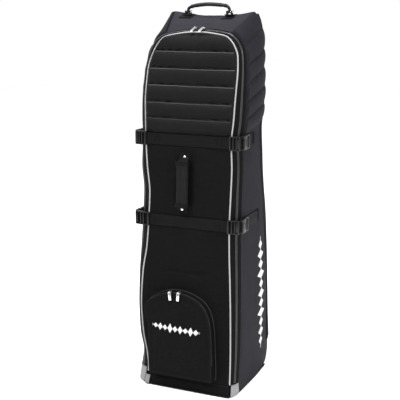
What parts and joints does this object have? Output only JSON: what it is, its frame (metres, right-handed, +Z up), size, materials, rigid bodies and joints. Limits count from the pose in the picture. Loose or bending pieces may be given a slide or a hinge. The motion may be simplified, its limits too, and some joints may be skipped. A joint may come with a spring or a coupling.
{
  "type": "golf travel case",
  "caption": "Tall soft wheeled case for a golf bag, with a zipped front flap, compression straps, pocket and handles.",
  "frame": {"origin": "on the flat underside of the base, at the crossing of the case's depth and width datum lines", "axes": "+Z up the case, +X to the right seen from the front, the front flap faces -Y"},
  "size_m": [0.394, 0.4323, 1.3005],
  "materials": {
    "shell_black": "black woven polyester, padded, slight sheen",
    "flap_black": "black woven polyester, quilted above the upper strap",
    "top_grey": "charcoal coated polyester",
    "webbing": "black polypropylene webbing",
    "silver_piping": "silver reflective piping",
    "dark_piping": "dark grey piping",
    "patch": "grey reflective fabric",
    "zip": "black woven zip tape",
    "zip_teeth": "black coil zip",
    "slider": "nickel-plated zinc",
    "buckle": "black moulded acetal",
    "moulding": "black moulded polypropylene",
    "grip": "padded black mesh fabric",
    "steel": "plated steel",
    "tyre": "black polyurethane tyre",
    "hub": "grey nylon hub",
    "board": "black polyethylene board",
    "foam": "closed-cell foam in black lining"
  },
  "bodies": {
    "shell": {"back_panel": "shell_black", "back_stiffener": "board", "base_board": "board", "body_piping": "dark_piping", "body_zip_tape": "zip", "body_zip_teeth": "zip_teeth", "bottom_panel": "moulding", "corner_patch_left": "patch", "corner_patch_right": "patch", "crush_pad": "foam", "front_sill": "flap_black", "heel_shell": "moulding", "inner_bag_strap": "webbing", "left_side_panel": "shell_black", "right_side_panel": "shell_black", "side_webbing_lower_left": "webbing", "side_webbing_lower_right": "webbing", "side_webbing_upper_left": "webbing", "side_webbing_upper_right": "webbing", "top_handle_anchor_left": "moulding", "top_handle_anchor_right": "moulding", "top_panel": "top_grey", "wheel_axle_left": "steel", "wheel_axle_right": "steel", "wheel_housing_left": "moulding", "wheel_housing_right": "moulding"},
    "main_slider_left": {"main_slider_left": "slider"},
    "main_pull_left": {"main_pull_left": "slider"},
    "pocket_slider_left": {"pocket_slider_left": "slider"},
    "pocket_pull_left": {"pocket_pull_left": "slider"},
    "wheel_left": {"wheel_tyre_left": "tyre", "wheel_hub_left": "hub", "wheel_bearings_left": "steel"},
    "buckle_prongs_lower_left": {"buckle_male_lower_left": "buckle"},
    "flap": {"buckle_female_lower_left": "buckle", "buckle_female_upper_left": "buckle", "buckle_female_lower_right": "buckle", "buckle_female_upper_right": "buckle", "flap_panel": "flap_black", "flap_piping": "silver_piping", "flap_zip_tape": "zip", "flap_zip_teeth": "zip_teeth", "front_webbing_lower": "webbing", "front_webbing_upper": "webbing", "handle_rivet_lower": "steel", "handle_rivet_upper": "steel", "pocket_gusset": "flap_black"},
    "buckle_prongs_upper_left": {"buckle_male_upper_left": "buckle"},
    "main_slider_right": {"main_slider_right": "slider"},
    "main_pull_right": {"main_pull_right": "slider"},
    "pocket_slider_right": {"pocket_slider_right": "slider"},
    "pocket_pull_right": {"pocket_pull_right": "slider"},
    "wheel_right": {"wheel_tyre_right": "tyre", "wheel_hub_right": "hub", "wheel_bearings_right": "steel"},
    "buckle_prongs_lower_right": {"buckle_male_lower_right": "buckle"},
    "buckle_prongs_upper_right": {"buckle_male_upper_right": "buckle"},
    "pocket_lid": {"pocket_lid": "flap_black"},
    "front_grip": {"handle_grip": "grip"},
    "top_handle": {"top_handle": "moulding"}
  },
  "joints": [
    {"name": "flap_hinge", "type": "hinge", "parent": "shell", "child": "flap", "pos_m": [0, -0.16295, 0.045], "axis": [1, 0, 0], "range_deg": [0, 80]},
    {"name": "main_slider_left_travel", "type": "hinge", "parent": "flap", "child": "main_slider_left", "pos_m": [0.028, -0.0917, 0.8157], "axis": [0, 1, 0], "range_deg": [-11, 0]},
    {"name": "main_pull_left_swing", "type": "hinge", "parent": "main_slider_left", "child": "main_pull_left", "pos_m": [0.0117, -0.0984, 1.22287], "axis": [-0.9992, 0, -0.04], "range_deg": [0, 120]},
    {"name": "main_slider_right_travel", "type": "hinge", "parent": "flap", "child": "main_slider_right", "pos_m": [0.028, -0.09169, 0.8157], "axis": [0, 1, 0], "range_deg": [0, 8.5]},
    {"name": "main_pull_right_swing", "type": "hinge", "parent": "main_slider_right", "child": "main_pull_right", "pos_m": [0.04023, -0.09839, 1.22302], "axis": [-0.9995, 0, 0.03], "range_deg": [0, 120]},
    {"name": "pocket_slider_left_travel", "type": "hinge", "parent": "flap", "child": "pocket_slider_left", "pos_m": [-0.02, -0.18, 0.203], "axis": [0, 1, 0], "range_deg": [-24, 0]},
    {"name": "pocket_pull_left_swing", "type": "hinge", "parent": "pocket_slider_left", "child": "pocket_pull_left", "pos_m": [-0.04081, -0.1937, 0.35771], "axis": [-0.9911, 0, -0.1333], "range_deg": [0, 90]},
    {"name": "pocket_slider_right_travel", "type": "hinge", "parent": "flap", "child": "pocket_slider_right", "pos_m": [-0.02, -0.17996, 0.203], "axis": [0, 1, 0], "range_deg": [0, 29]},
    {"name": "pocket_pull_right_swing", "type": "hinge", "parent": "pocket_slider_right", "child": "pocket_pull_right", "pos_m": [-0.00751, -0.19366, 0.3586], "axis": [-0.9968, 0, 0.08], "range_deg": [0, 90]},
    {"name": "pocket_lid_hinge", "type": "hinge", "parent": "flap", "child": "pocket_lid", "pos_m": [0, -0.20233, 0.063], "axis": [1, 0, 0], "range_deg": [0, 40]},
    {"name": "front_grip_pull", "type": "slide", "parent": "flap", "child": "front_grip", "axis": [0, -1, 0], "range_m": [0, 0.018]},
    {"name": "top_handle_fold", "type": "hinge", "parent": "shell", "child": "top_handle", "pos_m": [-0.0125, 0.072, 1.269], "axis": [1, 0, 0], "range_deg": [-60, 70]},
    {"name": "wheel_left_spin", "type": "hinge", "parent": "shell", "child": "wheel_left", "pos_m": [-0.125, 0.196, 0.037], "axis": [1, 0, 0], "continuous": true},
    {"name": "buckle_lower_left_release", "type": "slide", "parent": "shell", "child": "buckle_prongs_lower_left", "axis": [0, 1, 0], "range_m": [0, 0.025]},
    {"name": "buckle_upper_left_release", "type": "slide", "parent": "shell", "child": "buckle_prongs_upper_left", "axis": [0, 1, 0], "range_m": [0, 0.025]},
    {"name": "wheel_right_spin", "type": "hinge", "parent": "shell", "child": "wheel_right", "pos_m": [0.125, 0.196, 0.037], "axis": [1, 0, 0], "continuous": true},
    {"name": "buckle_lower_right_release", "type": "slide", "parent": "shell", "child": "buckle_prongs_lower_right", "axis": [0, 1, 0], "range_m": [0, 0.025]},
    {"name": "buckle_upper_right_release", "type": "slide", "parent": "shell", "child": "buckle_prongs_upper_right", "axis": [0, 1, 0], "range_m": [0, 0.025]}
  ]
}
